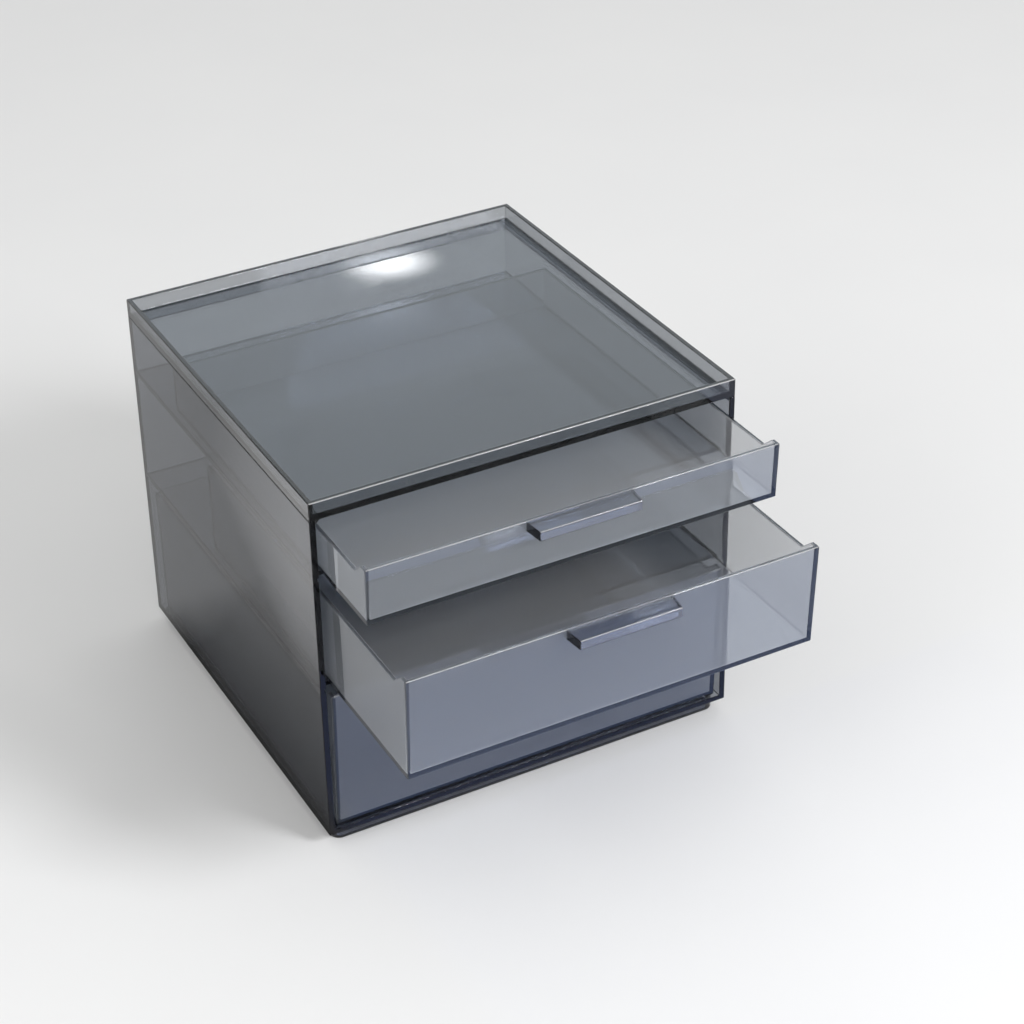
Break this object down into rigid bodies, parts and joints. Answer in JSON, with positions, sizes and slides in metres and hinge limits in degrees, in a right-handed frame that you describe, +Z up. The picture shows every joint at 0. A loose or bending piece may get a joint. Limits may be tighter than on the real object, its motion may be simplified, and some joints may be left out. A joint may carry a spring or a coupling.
{
  "type": "pull-out cosmetic organizer",
  "caption": "Clear smoke-grey plastic vanity organizer: a case with a rimmed tray on top, sliding drawers with bar pulls and a stacking foot.",
  "frame": {"origin": "on the table, in the middle of the underside of the base frame's front bar", "axes": "+Z up, +X to the right when facing the drawers, +Y from the front to the back; drawers open towards -Y"},
  "size_m": [0.21, 0.2956, 0.183],
  "materials": {
    "smoke_clear": "polished clear smoke-grey styrene or acrylic",
    "smoke_dark": "polished dark smoke-grey bar"
  },
  "bodies": {
    "case": {"case_shell": "smoke_clear", "top_tray": "smoke_clear", "upper_shelf": "smoke_clear", "lower_shelf": "smoke_clear", "base_frame": "smoke_clear"},
    "upper_drawer": {"upper_drawer_box": "smoke_clear", "upper_drawer_pull": "smoke_dark"},
    "middle_drawer": {"middle_drawer_box": "smoke_clear", "middle_drawer_pull": "smoke_dark"},
    "lower_drawer": {"lower_drawer_box": "smoke_clear", "lower_drawer_pull": "smoke_dark"}
  },
  "joints": [
    {"name": "upper_drawer_slide", "type": "slide", "parent": "case", "child": "upper_drawer", "axis": [0, -1, 0], "range_m": [-0.0438, 0.0862]},
    {"name": "middle_drawer_slide", "type": "slide", "parent": "case", "child": "middle_drawer", "axis": [0, -1, 0], "range_m": [-0.0772, 0.0528]},
    {"name": "lower_drawer_slide", "type": "slide", "parent": "case", "child": "lower_drawer", "axis": [0, -1, 0], "range_m": [-0.002, 0.128]}
  ]
}
